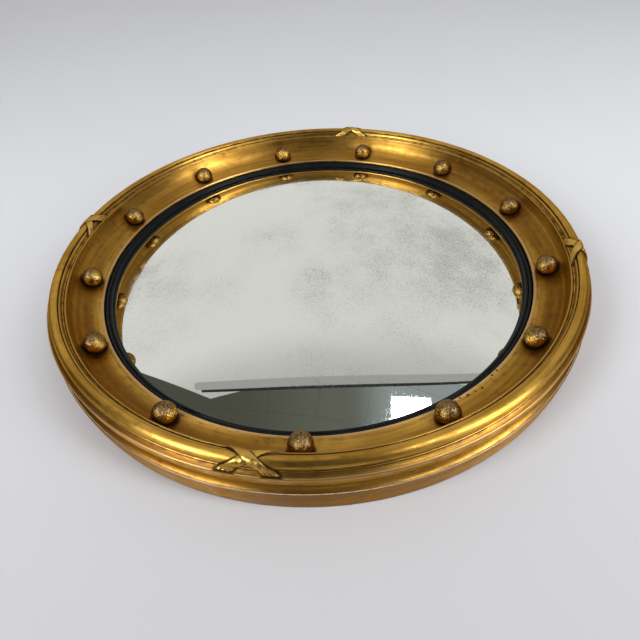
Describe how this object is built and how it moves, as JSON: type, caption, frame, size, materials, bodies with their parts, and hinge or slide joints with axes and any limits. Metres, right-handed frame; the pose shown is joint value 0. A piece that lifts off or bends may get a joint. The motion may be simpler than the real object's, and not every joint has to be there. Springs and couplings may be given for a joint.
{
  "type": "convex wall mirror",
  "caption": "Round convex wall mirror: a giltwood frame with balls in a hollow cove, crossed ribbon ties, a black reeded slip and a domed silvered glass.",
  "frame": {"origin": "centre of the frame's back rim, in the plane of the wall that the mirror hangs on", "axes": "+Z out of the glass along the axis that the frame is turned about, +Y towards the top of the hung mirror, +X to the right seen from the front"},
  "size_m": [0.5, 0.5, 0.0593],
  "materials": {
    "gilt_frame": "burnished gilding over gesso, brown in the hollows and worn pink on the edges",
    "gilt_base": "gilding rubbed thin on the outside, bare wood behind",
    "gilt_balls": "burnished gilding with a dark patina on top",
    "beech_pegs": "plain beech dowel",
    "gilt_composition": "cast composition, gilded and burnished",
    "ebonised_slip": "ebonised, semi-gloss",
    "silvered_glass": "domed silvered glass with grey foxing",
    "felt": "grey felt strip",
    "plywood": "plain plywood",
    "brass_buttons": "dull stamped brass",
    "steel_screws": "dull steel",
    "plated_straps": "brassed steel strip",
    "plated_rings": "brassed steel wire"
  },
  "bodies": {
    "frame": {"front_segment_1": "gilt_frame", "front_segment_2": "gilt_frame", "front_segment_3": "gilt_frame", "front_segment_4": "gilt_frame", "front_segment_5": "gilt_frame", "front_segment_6": "gilt_frame", "back_segment_1": "gilt_base", "back_segment_2": "gilt_base", "back_segment_3": "gilt_base", "back_segment_4": "gilt_base", "back_segment_5": "gilt_base", "back_segment_6": "gilt_base", "ball_01": "gilt_balls", "ball_02": "gilt_balls", "ball_03": "gilt_balls", "ball_04": "gilt_balls", "ball_05": "gilt_balls", "ball_06": "gilt_balls", "ball_07": "gilt_balls", "ball_08": "gilt_balls", "ball_09": "gilt_balls", "ball_10": "gilt_balls", "ball_11": "gilt_balls", "ball_12": "gilt_balls", "ball_13": "gilt_balls", "ball_pegs": "beech_pegs", "ribbon_tie_right": "gilt_composition", "ribbon_tie_top": "gilt_composition", "ribbon_tie_left": "gilt_composition", "ribbon_tie_bottom": "gilt_composition", "black_slip": "ebonised_slip", "mirror_glass": "silvered_glass", "felt_packing": "felt", "back_board": "plywood", "button_screws": "steel_screws", "hanger_strap_right": "plated_straps", "hanger_strap_left": "plated_straps", "hanger_screws": "steel_screws"},
    "turn_button_1": {"turn_button_1": "brass_buttons"},
    "turn_button_2": {"turn_button_2": "brass_buttons"},
    "turn_button_3": {"turn_button_3": "brass_buttons"},
    "turn_button_4": {"turn_button_4": "brass_buttons"},
    "turn_button_5": {"turn_button_5": "brass_buttons"},
    "turn_button_6": {"turn_button_6": "brass_buttons"},
    "hanger_ring_right": {"hanger_ring_right": "plated_rings"},
    "hanger_ring_left": {"hanger_ring_left": "plated_rings"}
  },
  "joints": [
    {"name": "turn_button_1_pivot", "type": "hinge", "parent": "frame", "child": "turn_button_1", "pos_m": [0.2221, 0, 0.0033], "axis": [0, 0, 1], "range_deg": [-108, 108]},
    {"name": "turn_button_2_pivot", "type": "hinge", "parent": "frame", "child": "turn_button_2", "pos_m": [0.11105, 0.19234, 0.0033], "axis": [0, 0, 1], "range_deg": [-108, 108]},
    {"name": "turn_button_3_pivot", "type": "hinge", "parent": "frame", "child": "turn_button_3", "pos_m": [-0.11105, 0.19234, 0.0033], "axis": [0, 0, 1], "range_deg": [-108, 108]},
    {"name": "turn_button_4_pivot", "type": "hinge", "parent": "frame", "child": "turn_button_4", "pos_m": [-0.2221, 0, 0.0033], "axis": [0, 0, 1], "range_deg": [-108, 108]},
    {"name": "turn_button_5_pivot", "type": "hinge", "parent": "frame", "child": "turn_button_5", "pos_m": [-0.11105, -0.19234, 0.0033], "axis": [0, 0, 1], "range_deg": [-108, 108]},
    {"name": "turn_button_6_pivot", "type": "hinge", "parent": "frame", "child": "turn_button_6", "pos_m": [0.11105, -0.19234, 0.0033], "axis": [0, 0, 1], "range_deg": [-108, 108]},
    {"name": "hanger_ring_right_swing", "type": "hinge", "parent": "frame", "child": "hanger_ring_right", "pos_m": [0.18455, 0.10655, 0.00265], "axis": [0.5, -0.866, 0], "range_deg": [0, 175]},
    {"name": "hanger_ring_left_swing", "type": "hinge", "parent": "frame", "child": "hanger_ring_left", "pos_m": [-0.18455, 0.10655, 0.00265], "axis": [0.5, 0.866, 0], "range_deg": [0, 175]}
  ]
}
